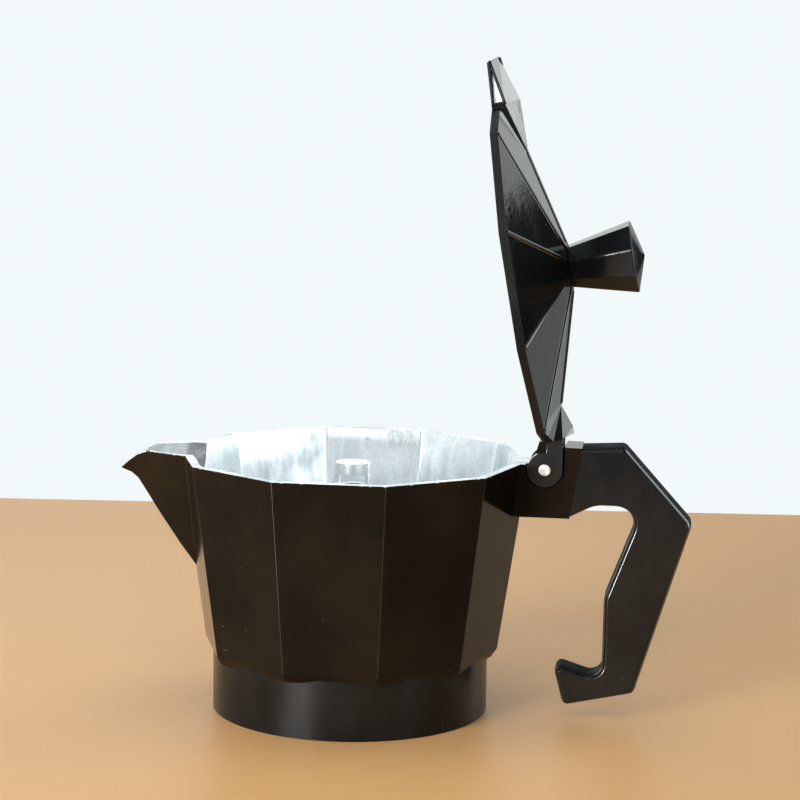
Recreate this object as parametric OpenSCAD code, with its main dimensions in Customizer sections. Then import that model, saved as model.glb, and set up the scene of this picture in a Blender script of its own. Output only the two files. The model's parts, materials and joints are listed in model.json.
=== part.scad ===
// Upper half of a ten-sided stovetop moka pot: the jug that collects the coffee, standing
// on its threaded ring with the lid swung open. Millimetres, +Z up. The origin is the
// centre of the ring's lower edge; +X points to the handle and -X to the spout.

/* [Jug] */
// Radius over the corners at the rim
rim_r = 54.2; // [52:0.1:58]
// Height of the rim above the ring's lower edge
rim_z = 79; // [78:0.5:88]
// Radius over the corners where the tapered wall starts
foot_r = 45.7; // [45:0.1:48]
// Height of the chamfer under the tapered wall
foot_chamfer = 2.8; // [2:0.1:4]
// Thickness of the cast wall
wall = 2.6; // [2:0.1:3.2]
// Thickness of the floor between the jug and the filter
floor_t = 3; // [2.4:0.1:4]

/* [Threaded ring] */
// Outer diameter of the ring
ring_d = 85; // [84:0.1:86]
// Height of the smooth outside of the ring
ring_h = 17.2; // [17:0.1:20]
// Thickness of the ring at the crests of its thread
ring_wall = 4.9; // [4.6:0.1:5.2]
// Depth of the thread
thread_depth = 1.2; // [0.8:0.1:1.5]
// Distance from crest to crest
thread_pitch = 3; // [2.6:0.1:3.1]
// Height of the plain lead-in under the first crest
thread_start = 1.6; // [1.2:0.1:2]

/* [Filter and gasket] */
// Step from the crests of the thread in to the gasket's edge
gasket_step = 1.1; // [0.8:0.1:1.4]
// Radial width of the gasket
gasket_w = 7.5; // [6.5:0.1:8]
// Thickness of the gasket
gasket_t = 3.5; // [3:0.1:3.8]
// Lip that keeps the gasket in, measured inwards from its groove
lip = 0.8; // [0.5:0.1:1.2]
// Step from the gasket's edge in to the filter plate's edge
plate_step = 2; // [1.6:0.1:2.4]
// Thickness of the filter plate
plate_t = 0.8; // [0.6:0.1:1]
// Diameter of each filter hole
filter_hole_d = 1.6; // [1.2:0.1:2]
// Distance between rings of filter holes
filter_pitch = 5; // [4.5:0.1:5.2]

/* [Column] */
// Diameter of the column's spigot in the floor
spigot_d = 14; // [13:0.1:16]
// Diameter of the column just above the floor
column_foot_d = 18; // [17:0.1:20]
// Diameter of the column at its top
column_top_d = 8.8; // [8.4:0.1:9.2]
// Wall of the column
column_wall = 1.3; // [1:0.1:1.5]
// Drop from the rim to the top of the cap
cap_drop = 2.3; // [2:0.1:4]
// Outer diameter of the cap
cap_d = 10.8; // [10.6:0.1:11.4]
// Height of the cap
cap_h = 12; // [11:0.1:13]
// Height of the two outlets in the cap
outlet_h = 3.9; // [3:0.1:4.2]

/* [Spout] */
// Reach of the spout beyond the jug's corner
spout_reach = 18.5; // [17:0.5:20]
// Drop from the rim to the tip of the spout
spout_drop = 6.9; // [6:0.1:8]
// Half width of the spout where it leaves the rim
spout_half = 14; // [12.5:0.1:14.5]
// Height of the spout's keel on the corner of the jug
keel_h = 35; // [32:0.5:38]
// Wall of the spout
spout_wall = 2; // [1.6:0.1:2.4]

/* [Hinge] */
// Distance of the hinge pin outside the jug's corner
hinge_out = 5.2; // [5:0.1:6]
// Drop from the rim to the hinge pin
hinge_drop = 1.4; // [1:0.1:1.8]
// Diameter of the hinge pin
pin_d = 3.7; // [3:0.1:4]
// Running clearance round the pin in the lid's ears
pin_play = 0.06; // [0.03:0.01:0.1]
// Diameter of the round end of each ear
boss_d = 10.6; // [10:0.1:11]
// Thickness of each ear
ear_t = 2.6; // [2.2:0.1:3]
// Side clearance between the ears and the lug
ear_gap = 0.35; // [0.3:0.05:0.5]
// Width of the lug between the ears
lug_w = 8.4; // [7.6:0.1:9]
// Angle to which the lid stands open
lid_open = 79.8; // [70:0.1:80]

/* [Lid] */
// Gap under the closed lid
lid_gap = 0.2; // [0.1:0.05:0.4]
// Overhang of the lid's corners beyond the rim
lid_over = 0.5; // [0:0.1:1]
// Height of the upright band round the lid
lid_band = 2.4; // [2:0.1:3]
// Rise of the lid from its band to the point where its ridges would meet
lid_rise = 14.2; // [13:0.1:15]
// Thickness of the lid
lid_t = 2; // [1.6:0.1:2.2]
// Radius of the seat under the knob
seat_r = 6.9; // [6.6:0.1:7.4]

/* [Knob] */
// Diameter of the knob over its corners at the seat
knob_foot_d = 13; // [12.4:0.1:13.2]
// Diameter of the knob over its corners at the wide end
knob_d = 22.3; // [21:0.1:23.5]
// Height of the knob up to the wide end
knob_h = 19.6; // [18:0.1:21]
// Height of the pointed end
knob_point = 3; // [2:0.1:4]
// Diameter of the screws
screw_d = 4; // [3.6:0.1:4.2]

/* [Handle] */
// Thickness of the handle
handle_t = 13; // [12.4:0.1:16]
// Height of the handle's top above the rim
handle_top = 6.2; // [6:0.1:7]
// Reach of the grip beyond the jug's corner
handle_reach = 50.1; // [48:0.5:54]
// Drop from the rim to the handle's lowest corner
handle_drop = 75; // [72:0.5:77]
// Drop from the rim to the underside of the cast arm
arm_drop = 16.2; // [15.5:0.1:17]
// Clearance round the cast tongue inside the handle
socket_gap = 0.15; // [0.1:0.05:0.3]

/* [Hidden] */

$fn = 96;
SIDES = 10;
HALF_SIDE = 180 / SIDES;
EPS = 0.01;
BIG = 200;

// Cast jug
ring_r = ring_d / 2;
foot_z = ring_h + foot_chamfer;
ring_step = 0.75;
ledge_r = (ring_r - ring_step) / cos(HALF_SIDE);
floor_z = ring_h + floor_t;
cavity_foot_r = foot_r - wall / cos(HALF_SIDE);
cavity_rim_r = rim_r - wall / cos(HALF_SIDE);
wall_slope = (rim_r - foot_r) / (rim_z - foot_z);

// Thread, gasket groove and filter seat, from the open end of the ring upwards
crest_r = ring_r - ring_wall;
root_r = crest_r + thread_depth;
crest_flat = 0.8;
crest_count = 3;
thread_flank = (thread_pitch - crest_flat) / 3;
fit_gap = 0.1;
gasket_r = crest_r - gasket_step;
groove_r = gasket_r + fit_gap;
plenum_h = 1.8;
plate_z = ring_h - plate_t - plenum_h;
gasket_z = plate_z - gasket_t;
lip_h = 0.8;
lip_flare = 0.2;
lip_z = gasket_z - lip_h;
plate_r = gasket_r - plate_step;
plenum_r = gasket_r - gasket_w;
filter_edge = 1.5;
filter_rings = floor((plenum_r - filter_edge) / filter_pitch);

// Column and cap
spigot_r = spigot_d / 2;
cap_top = rim_z - cap_drop;
cap_low = cap_top - cap_h;
cap_crown = 3.3;
column_end = cap_top - cap_crown - outlet_h;
column_collar = 1.5;
outlet_z = column_end;
outlet_w = column_top_d - 0.6;

// Spout. The keel runs up the middle and the lips along its two upper edges; each
// station holds shares of [keel reach, keel drop, lip reach, lip drop, half width]
lip_start = -spout_half * tan(HALF_SIDE);
STATIONS = [
    [-0.31, 1.085, -0.04, 0.00, 0.993],
    [-0.02, 0.833, 0.10, 0.00, 0.930],
    [0.32, 0.505, 0.28, 0.00, 0.800],
    [0.58, 0.238, 0.46, 0.00, 0.643],
    [0.71, 0.107, 0.60, 0.07, 0.493],
    [0.82, 0.046, 0.75, 0.29, 0.329],
    [0.91, 0.023, 0.88, 0.62, 0.171],
    [1.00, 0.000, 0.99, 0.95, 0.025]
];
LAST = len(STATIONS) - 1;
channel_open = 3;
channel_out = 2;
channel_rise = 2.6;
thin_from = 4;
thinning = 0.22;
flattest = 0.6;
trim = 1;

// Hinge; the bracket is as thick as the handle, and the ears stand slightly proud of it
hinge_x = rim_r + hinge_out;
hinge_z = rim_z - hinge_drop;
pin_r = pin_d / 2;
boss_r = boss_d / 2;
lug_half = lug_w / 2;
ear_in = lug_half + ear_gap;
ear_out = ear_in + ear_t;
pin_proud = 0.4;
strap_w = 5.3;
strap_lift = 0.5;
strap_up = 10;
strap_low = 1.6;
swing_gap = 0.5;
post_x = hinge_x + norm([strap_w, strap_low]) + swing_gap;
post_rise = 5.6;
web_rise = 6.2;
lug_r = 8.2;
lug_sink = 1;
// corners of the lug's top as shares of its radius from the pin: [x, z]
LUG = [[-0.61, 0.05], [-0.42, 0.39], [-0.24, 1], [0.20, 1], [0.66, 0.49]];

// Lid, described closed and then swung open about the pin
lid_z = rim_z + lid_gap;
lid_r = rim_r + lid_over;
band_z = lid_z + lid_band;
ridge_slope = lid_rise / lid_r;
seat_z = band_z + lid_rise - seat_r * ridge_slope;
lid_in_r = lid_r - lid_t / cos(HALF_SIDE);
lid_cut = 8.8;
lid_cut_x = hinge_x - lid_cut;
lid_inner_r = 6;
band_lean = 0.3;
cover_proud = 0.3;
cover_start = rim_r - 1.01 * spout_reach;
cover_kink = rim_r - 0.14 * spout_reach;
cover_tip = rim_r + 0.595 * spout_reach;
cover_z = band_z + lid_rise - cover_start * ridge_slope + cover_proud;
cover_blunt = 1.2;
cover_eave = 11.5;
cover_eave_z = 3.9;
cover_ridge_tip = 3.2;
cover_flare = 1.3;
cover_foot = cover_eave + cover_flare;
cover_tip_half = 6.4;
cover_tip_edge = 0.9;
cover_tail = 6;
cover_wall = 1.6;
side_share = 1.1;
point_share = 2.4;
roof_len = 9.4;
roof_start = lid_cut_x - roof_len;
roof_h = 8.4;
roof_z = lid_z + roof_h;
roof_dip = 2.6;
roof_fall = 3.2;
roof_shoulder = 2.3;
roof_flare = 5.4;

// Knob and its fixings, in the closed lid's frame
knob_turn = -16;
knob_tip_r = 0.4;
seat_t = 2.4;
lid_inner_z = seat_z - seat_t;
screw_r = screw_d / 2;
screw_play = 0.2;
hole_r = screw_r + screw_play;
insert_wall = 1.2;
insert_r = screw_r + insert_wall;
insert_h = 12;
washer_w = 2.4;
washer_r = screw_r + washer_w;
washer_t = 0.8;
head_over = 1.7;
head_r = screw_r + head_over;
head_h = 2.2;
slot_w = 0.9;
slot_share = 0.6;
screw_short = 3;
screw_bite = 5;

// Handle; heights are measured from the rim and reaches from the jug's corner
seam_reach = 13;
seam_lean = 3.3;
seam_dip = 0.7;
seam_low = [rim_r + seam_reach, rim_z - arm_drop];
seam_top = [seam_low[0] + seam_lean, rim_z + handle_top - seam_dip];
tongue_x = rim_r + 0.579 * handle_reach;
tongue_root = 2;
tongue_drop = 5.6;
tongue_rise = 1.5;
tongue_low = rim_z - tongue_drop;
tongue_top = rim_z + tongue_rise;
tongue_half = 3.6;
screw_x = rim_r + 0.451 * handle_reach;
screw_stop = 1;
handle_web = 2.8;
handle_seat_z = tongue_low - handle_web;
washer_play = 0.3;
counterbore_r = washer_r + washer_play;

// corners of the handle's outline beyond the seam: [share of its reach, share of its drop,
// radius as a share of its thickness]; the first corner lies level with its top
under_share = 0.164;
CORNERS = [
    [0.581, -handle_top / handle_drop, 0.185],
    [1, 0.227, 0.231],
    [0.677, 0.936, 0.138],
    [0.2455, 1, 0.077],
    [0.1756, 0.82, 0.1],
    [0.479, 0.884, 0.323],
    [0.479, 0.544, 0.692],
    [0.69, under_share, 0.431],
    [0.411, under_share, 0.615]
];
HANDLE = concat(
    [[seam_low[0], seam_low[1], 0], [seam_top[0], seam_top[1], 0]],
    [for (c = CORNERS) [rim_r + c[0] * handle_reach, rim_z - c[1] * handle_drop, c[2] * handle_t]]
);
handle_under = rim_z - under_share * handle_drop;

// Points of an arc that rounds corner b of the path a, b, c to radius r
function unit(v) = v / norm(v);
function arc_points(a, b, c, r) =
    let (u = unit(a - b), v = unit(c - b))
    let (half = acos(u * v) / 2, reach = r / tan(half))
    let (centre = b + unit(u + v) * r / sin(half))
    let (from = b + u * reach - centre, turn = 180 - 2 * half)
    let (way = cross(u, v) > 0 ? -1 : 1, steps = max(2, ceil(turn / 12)))
    [for (i = [0 : steps])
        let (t = way * turn * i / steps)
        centre + [from[0] * cos(t) - from[1] * sin(t), from[0] * sin(t) + from[1] * cos(t)]];
function flat(lists) = [for (list = lists) for (item = list) item];
function rounded(path) =
    let (n = len(path))
    flat([for (i = [0 : n - 1])
        let (a = path[(i + n - 1) % n], b = path[i], c = path[(i + 1) % n])
        b[2] == 0 ? [[b[0], b[1]]]
                  : arc_points([a[0], a[1]], [b[0], b[1]], [c[0], c[1]], b[2])]);

// Turns a profile drawn in X and Z into a plate of thickness t centred on Y = 0
module plate_xz(t) {
    rotate([90, 0, 0])
        linear_extrude(height = t, center = true)
            children();
}

// A cylinder lying along Y
module bar_y(r, length) {
    rotate([90, 0, 0])
        cylinder(r = r, h = length, center = true);
}

// A ten-sided frustum with corners on the X axis
module frustum(z1, r1, z2, r2) {
    translate([0, 0, z1])
        cylinder(h = z2 - z1, r1 = r1, r2 = r2, $fn = SIDES);
}

// Keel point and the +Y lip point of spout station i
function keel_point(i) =
    [-rim_r - spout_reach * STATIONS[i][0], 0,
     rim_z - spout_drop - (keel_h - spout_drop) * STATIONS[i][1]];
function lip_point(i) =
    [-rim_r - lip_start - (spout_reach - lip_start) * STATIONS[i][2],
     spout_half * STATIONS[i][4], rim_z - spout_drop * STATIONS[i][3]];
function other_side(p) = [p[0], -p[1], p[2]];
function raised(p, q, rise) = q + (q - p) * rise / (q[2] - p[2]);
function spout_section(i) =
    let (keel = keel_point(i), lip = lip_point(i))
    let (top = raised(keel, lip, STATIONS[i][3] > 0 ? 0 : trim))
    [top, keel, other_side(top)];

// The channel inside the spout: each section is drawn in by the wall and carried up
// past the lips; the first and last sections are pushed out past the spout's ends
function channel_section(i) =
    let (keel = keel_point(i), lip = lip_point(i), side = lip - keel)
    let (thin = spout_wall * (1 - thinning * max(i - thin_from, 0)))
    let (rise = min(thin * norm(side) / max(side[1], flattest), channel_rise * thin))
    let (low = keel + [0, 0, rise])
    let (high = raised(low, low + side, channel_open))
    let (push = [i == 0 ? spout_wall + wall + trim : i == LAST ? -channel_out : 0, 0, 0])
    [high + push, low + push, other_side(high) + push];

// Joins triangular sections into a closed solid
module loft(sections) {
    n = len(sections);
    last = 3 * (n - 1);
    sides = [for (i = [0 : n - 2]) for (k = [0 : 2])
        let (a = 3 * i + k, b = 3 * i + (k + 1) % 3)
        for (face = [[a, b + 3, b], [a, a + 3, b + 3]]) face];
    polyhedron(
        points = flat(sections),
        faces = concat([[0, 1, 2]], sides, [[last + 2, last + 1, last]])
    );
}

// Side view of the cast bracket, from inside the jug's wall to the seam with the handle
module bracket_side() {
    polygon([
        [foot_r, rim_z - arm_drop],
        seam_low,
        seam_top,
        [post_x, rim_z + post_rise],
        [post_x, hinge_z + web_rise],
        [hinge_x, hinge_z + web_rise],
        [hinge_x, rim_z],
        [foot_r, rim_z]
    ]);
}

// Side view of the lug between the lid's ears
module lug_side() {
    polygon(concat(
        [[foot_r, rim_z - arm_drop + lug_sink], [foot_r, rim_z - lug_sink]],
        [for (p = LUG) [hinge_x + p[0] * lug_r, hinge_z + p[1] * lug_r]],
        [[hinge_x + LUG[4][0] * lug_r, rim_z - arm_drop + lug_sink]]
    ));
}

// Room in the bracket for one ear through its whole swing
module ear_room() {
    room_r = boss_r + swing_gap;
    bar_y(room_r, BIG);
    translate([-room_r, -BIG / 2, 0])
        cube([post_x - hinge_x + room_r, BIG, BIG]);
    translate([0, -BIG / 2, -strap_low - swing_gap])
        cube([post_x - hinge_x, BIG, BIG]);
}

// Cast arm that reaches into the handle
module tongue() {
    translate([seam_low[0] - tongue_root, -tongue_half, tongue_low])
        cube([tongue_x - seam_low[0] + tongue_root, 2 * tongue_half, tongue_top - tongue_low]);
}

// Outline of everything that is hollow under the floor, as [radius, height] points
thread_void = flat([for (i = [0 : crest_count - 1])
    let (z = thread_start + i * thread_pitch)
    [[root_r, z], [crest_r, z + thread_flank], [crest_r, z + thread_flank + crest_flat],
     [root_r, z + 2 * thread_flank + crest_flat]]]);
module ring_void() {
    rotate_extrude()
        polygon(concat(
            [[0, -1], [root_r, -1]],
            thread_void,
            [[root_r, lip_z - lip_flare], [groove_r - lip, lip_z], [groove_r - lip, gasket_z],
             [groove_r, gasket_z], [groove_r, plate_z], [plate_r + fit_gap, plate_z],
             [plate_r + fit_gap, plate_z + plate_t], [plenum_r, plate_z + plate_t],
             [plenum_r, ring_h], [0, ring_h]]
        ));
}

module collector() {
    color([0.09, 0.075, 0.06])
    difference() {
        union() {
            cylinder(r = ring_r, h = ring_h + 1);
            frustum(ring_h, ledge_r, foot_z, foot_r);
            difference() {
                union() {
                    frustum(foot_z, foot_r, rim_z + trim, rim_r + trim * wall_slope);
                    loft([for (i = [0 : LAST]) spout_section(i)]);
                }
                translate([0, 0, rim_z])
                    cylinder(r = BIG, h = BIG);
            }
            difference() {
                plate_xz(handle_t)
                    bracket_side();
                translate([hinge_x, 0, hinge_z])
                    difference() {
                        ear_room();
                        cube([BIG, 2 * (ear_in - ear_gap), BIG], center = true);
                    }
            }
            plate_xz(lug_w)
                lug_side();
            tongue();
        }
        difference() {
            frustum(foot_z, cavity_foot_r, rim_z + trim, cavity_rim_r + trim * wall_slope);
            translate([0, 0, -BIG + floor_z])
                cylinder(r = BIG, h = BIG);
        }
        loft([for (i = [0 : LAST]) channel_section(i)]);
        ring_void();
        cylinder(r = spigot_r, h = floor_z + 1);
        translate([hinge_x, 0, hinge_z])
            bar_y(pin_r, BIG);
        translate([screw_x, 0, tongue_low - 1])
            cylinder(r = screw_r, h = tongue_top - tongue_low + 1 - screw_stop);
    }
}

module column() {
    color([0.78, 0.78, 0.76])
    rotate_extrude()
        polygon([
            [spigot_r - column_wall, ring_h],
            [spigot_r, ring_h],
            [spigot_r, floor_z],
            [column_foot_d / 2, floor_z],
            [column_foot_d / 2, floor_z + column_collar],
            [spigot_r, floor_z + 2 * column_collar],
            [column_top_d / 2, cap_low],
            [column_top_d / 2, column_end],
            [column_top_d / 2 - column_wall, column_end],
            [column_top_d / 2 - column_wall, cap_low]
        ]);
}

module column_cap() {
    color([0.83, 0.83, 0.82])
    difference() {
        translate([0, 0, cap_low])
            cylinder(r = cap_d / 2, h = cap_h);
        translate([0, 0, cap_low - 1])
            cylinder(r = column_top_d / 2, h = cap_h - cap_crown + 1);
        translate([-outlet_w / 2, -BIG / 2, outlet_z])
            cube([outlet_w, BIG, outlet_h]);
    }
}

module filter_plate() {
    color([0.72, 0.72, 0.72])
    translate([0, 0, plate_z])
        difference() {
            cylinder(r = plate_r, h = plate_t);
            for (ring = [0 : filter_rings])
                for (i = [0 : max(6 * ring, 1) - 1])
                    rotate([0, 0, 360 * i / max(6 * ring, 1)])
                        translate([ring * filter_pitch, 0, -1])
                            cylinder(r = filter_hole_d / 2, h = plate_t + 2, $fn = 24);
        }
}

module gasket() {
    color([0.92, 0.92, 0.88])
    translate([0, 0, gasket_z])
        difference() {
            cylinder(r = gasket_r, h = gasket_t);
            translate([0, 0, -1])
                cylinder(r = plenum_r, h = gasket_t + 2);
        }
}

// Swings whatever is drawn closed to the angle at which the lid stands
module opened() {
    translate([hinge_x, 0, hinge_z])
        rotate([0, lid_open, 0])
            translate([-hinge_x, 0, -hinge_z])
                children();
}

// The convex solid round a list of points, mirrored across Y = 0
module convex(points) {
    all = concat(points, [for (p = points) other_side(p)]);
    hull()
        polyhedron(points = all, faces = [[for (i = [0 : len(all) - 1]) i]]);
}

// Outside of the lid's cover over the spout; inset > 0 gives the hollow inside it
module spout_cover(inset) {
    foot_z1 = lid_z - (inset > 0 ? trim : 0);
    side = inset * side_share;
    tip_half = cover_tip_half - side;
    blunt_x = -cover_tip + cover_blunt + side;
    convex([
        [-cover_start - inset, 0, cover_z - inset],
        [-cover_kink, 0, cover_z - inset],
        [-cover_tip + point_share * inset, 0, lid_z + cover_ridge_tip - inset],
        [-cover_kink, cover_eave - side, lid_z + cover_eave_z - inset],
        [-cover_kink, cover_foot - side, foot_z1],
        [blunt_x, tip_half, lid_z + max(cover_tip_edge - inset, 0)],
        [blunt_x, tip_half, foot_z1],
        [-cover_start - cover_tail - inset, cover_foot - side, foot_z1]
    ]);
}

// Wedge on the hinge side of the lid, from which the two ears spring
module hinge_roof() {
    convex([
        [roof_start, 0, roof_z - roof_dip],
        [roof_start, 0, lid_z],
        [lid_cut_x - roof_shoulder, 0, roof_z],
        [lid_cut_x + trim, 0, roof_z],
        [lid_cut_x + trim, ear_out, roof_z - roof_fall],
        [lid_cut_x, ear_out, lid_z],
        [lid_cut_x, ear_out + roof_flare, lid_z]
    ]);
}

// One ear: a round end about the pin and a straight strap back to the roof
module ear() {
    bar_y(boss_r, ear_t);
    rotate([0, 90 - lid_open, 0])
        translate([-strap_up, -ear_t / 2, strap_lift])
            cube([strap_up + strap_low, ear_t, strap_w - strap_lift]);
}

module lid_closed() {
    difference() {
        union() {
            difference() {
                union() {
                    frustum(lid_z, lid_r, band_z, lid_r - band_lean);
                    frustum(band_z, lid_r - band_lean, seat_z, seat_r);
                    spout_cover(0);
                    hinge_roof();
                }
                frustum(lid_z - trim, lid_in_r, band_z - lid_t, lid_in_r);
                frustum(band_z - lid_t - EPS, lid_in_r, lid_inner_z, lid_inner_r);
                spout_cover(cover_wall);
                translate([lid_cut_x, -BIG / 2, lid_z - BIG / 2])
                    cube(BIG);
            }
            for (side = [-1, 1])
                translate([hinge_x, side * (ear_in + ear_t / 2), hinge_z])
                    ear();
            intersection() {
                hinge_roof();
                translate([roof_start, -ear_out, lid_z])
                    cube([lid_cut_x - roof_start, 2 * ear_out, BIG]);
            }
        }
        translate([hinge_x, 0, hinge_z])
            bar_y(pin_r + pin_play, BIG);
        translate([0, 0, lid_z])
            cylinder(r = hole_r, h = BIG);
    }
}

module lid() {
    color([0.07, 0.07, 0.07])
    opened()
        lid_closed();
}

module knob() {
    color([0.1, 0.11, 0.12])
    opened()
        translate([0, 0, seat_z])
            difference() {
                rotate([0, 0, knob_turn])
                    union() {
                        cylinder(h = knob_h, r1 = knob_foot_d / 2, r2 = knob_d / 2, $fn = 8);
                        translate([0, 0, knob_h])
                            cylinder(h = knob_point, r1 = knob_d / 2, r2 = knob_tip_r, $fn = 8);
                    }
                translate([0, 0, -1])
                    cylinder(r = insert_r, h = insert_h + 1);
            }
}

module knob_insert() {
    color([0.8, 0.62, 0.3])
    opened()
        translate([0, 0, seat_z])
            difference() {
                cylinder(r = insert_r, h = insert_h);
                translate([0, 0, -1])
                    cylinder(r = screw_r, h = insert_h);
            }
}

module washer() {
    difference() {
        cylinder(r = washer_r, h = washer_t);
        translate([0, 0, -1])
            cylinder(r = hole_r, h = washer_t + 2);
    }
}

// Pan-head screw pointing up, with the underside of its head at Z = 0
module screw(length) {
    cylinder(r = screw_r, h = length);
    difference() {
        translate([0, 0, -head_h])
            cylinder(r = head_r, h = head_h);
        for (turn = [0, 90])
            rotate([0, 0, turn])
                translate([-head_r * slot_share, -slot_w / 2, -head_h - 1])
                    cube([2 * head_r * slot_share, slot_w, 1 + head_h / 2]);
    }
}

module knob_washer() {
    color([0.7, 0.7, 0.7])
    opened()
        translate([0, 0, lid_inner_z - washer_t])
            washer();
}

module knob_screw() {
    color([0.7, 0.7, 0.7])
    opened()
        translate([0, 0, lid_inner_z - washer_t])
            screw(seat_t + washer_t + insert_h - screw_short);
}

module hinge_pin() {
    color([0.86, 0.86, 0.84])
    translate([hinge_x, 0, hinge_z])
        bar_y(pin_r, 2 * (ear_out + pin_proud));
}

module handle() {
    color([0.12, 0.11, 0.1])
    difference() {
        plate_xz(handle_t)
            polygon(rounded(HANDLE));
        translate([0, -tongue_half - socket_gap, tongue_low - socket_gap])
            cube([tongue_x + socket_gap, 2 * (tongue_half + socket_gap),
                  tongue_top - tongue_low + 2 * socket_gap]);
        translate([screw_x, 0, handle_under - 2]) {
            cylinder(r = hole_r, h = tongue_low - handle_under + 3);
            cylinder(r = counterbore_r, h = handle_seat_z - handle_under + 2);
        }
    }
}

module handle_screw() {
    color([0.7, 0.7, 0.7])
    translate([screw_x, 0, handle_seat_z - washer_t])
        screw(handle_web + washer_t + screw_bite);
}

module handle_washer() {
    color([0.66, 0.66, 0.66])
    translate([screw_x, 0, handle_seat_z - washer_t])
        washer();
}

collector();
column();
column_cap();
filter_plate();
gasket();
lid();
knob();
knob_insert();
knob_washer();
knob_screw();
hinge_pin();
handle();
handle_screw();
handle_washer();
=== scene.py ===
# %% [markdown]
# # The upper half of a ten-sided moka pot
#
# The jug is one aluminium casting: a ten-sided tapered wall, a beaked spout, a threaded ring
# below and a bracket for the hinge. It is enamelled black outside and left bare inside. A cast
# lid swings on a steel pin, a faceted bakelite knob is screwed to the lid, and a bakelite
# handle is screwed to an arm of the casting.
#
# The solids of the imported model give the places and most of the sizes. This lesson dresses
# them: it rounds the edges that a casting or a moulding has rounded, builds the handle anew
# with its soft edges, and mixes a finish for each surface out of nodes.

# %% Load the fixed frame
import json
import math

import bmesh
import bpy
from mathutils import Matrix, Vector


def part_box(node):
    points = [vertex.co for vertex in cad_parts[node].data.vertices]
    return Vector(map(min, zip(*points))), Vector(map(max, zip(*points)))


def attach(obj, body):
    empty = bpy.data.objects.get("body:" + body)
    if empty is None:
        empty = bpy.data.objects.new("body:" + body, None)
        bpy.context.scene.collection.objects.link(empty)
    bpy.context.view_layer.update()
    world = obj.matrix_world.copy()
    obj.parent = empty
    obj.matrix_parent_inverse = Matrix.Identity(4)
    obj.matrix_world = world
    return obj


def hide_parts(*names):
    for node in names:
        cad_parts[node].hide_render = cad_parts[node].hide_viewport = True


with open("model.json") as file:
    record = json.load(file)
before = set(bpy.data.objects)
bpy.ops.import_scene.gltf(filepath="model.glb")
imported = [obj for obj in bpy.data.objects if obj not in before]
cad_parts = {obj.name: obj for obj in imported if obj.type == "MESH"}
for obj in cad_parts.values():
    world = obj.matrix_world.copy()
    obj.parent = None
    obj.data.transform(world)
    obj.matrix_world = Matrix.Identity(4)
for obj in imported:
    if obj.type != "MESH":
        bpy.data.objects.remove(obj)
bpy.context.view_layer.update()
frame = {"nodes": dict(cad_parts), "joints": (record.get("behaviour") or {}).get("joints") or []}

# %% [markdown]
# ## Places that the other cells start from
#
# A casting drawing has datums, points from which all else is measured. Here they are the hinge
# pin, the rim of the jug and the top of the ring. The pin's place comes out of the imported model,
# the rim is measured from the pin, and the ring from the table. One millimetre is written as
# `MM`, because the model is in metres.

# %% Datums
MM = 0.001
JUG = "jug"
LID = "lid"
RIM_OVER_PIN = 1.4 * MM
PIN_PAST_CORNER = 5.2 * MM
RING_R = 42.5 * MM
RING_TOP = 17.2 * MM
SIDES = 10
SIDE_TURN = math.tau / SIDES
TO_SIDE = math.cos(SIDE_TURN / 2)  # a side's distance from the axis, as a share of a corner's

joint = frame["joints"][0]
pin = Vector(joint["pos_m"])
rim_z = pin.z + RIM_OVER_PIN
rim_r = pin.x - PIN_PAST_CORNER
print("rim at", round(rim_z / MM, 2), "mm, corner radius", round(rim_r / MM, 2), "mm")

# %% [markdown]
# ## Shader sums written as Python
#
# A finish is a sum of masks and patterns. Wiring each Math node by hand hides the sum, so a
# small class wraps an output socket and overloads the operators: `1 - mask` adds the Math node
# by itself. Every other node comes from one method that takes its type, its settings, and then
# the values or links of its sockets.

# %% A socket with operators
class Wire:
    """An output socket. Arithmetic on it adds Math nodes to the same tree."""

    def __init__(self, board, socket):
        self.board = board
        self.socket = socket

    def math(self, operation, *values):
        return self.board.add("Math", {"operation": operation}, dict(enumerate(values)))

    def __add__(self, other):
        return self.math("ADD", self, other)

    def __radd__(self, other):
        return self.math("ADD", other, self)

    def __sub__(self, other):
        return self.math("SUBTRACT", self, other)

    def __rsub__(self, other):
        return self.math("SUBTRACT", other, self)

    def __mul__(self, other):
        return self.math("MULTIPLY", self, other)

    def __rmul__(self, other):
        return self.math("MULTIPLY", other, self)

    def __truediv__(self, other):
        return self.math("DIVIDE", self, other)

    def __rtruediv__(self, other):
        return self.math("DIVIDE", other, self)

    def ramp(self, low, high, at_low=0.0, at_high=1.0):
        """Runs smoothly from at_low to at_high while this value goes from low to high."""
        settings = {"interpolation_type": "SMOOTHSTEP"}
        sockets = {0: self, 1: low, 2: high, 3: at_low, 4: at_high}
        return self.board.add("MapRange", settings, sockets)


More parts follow.
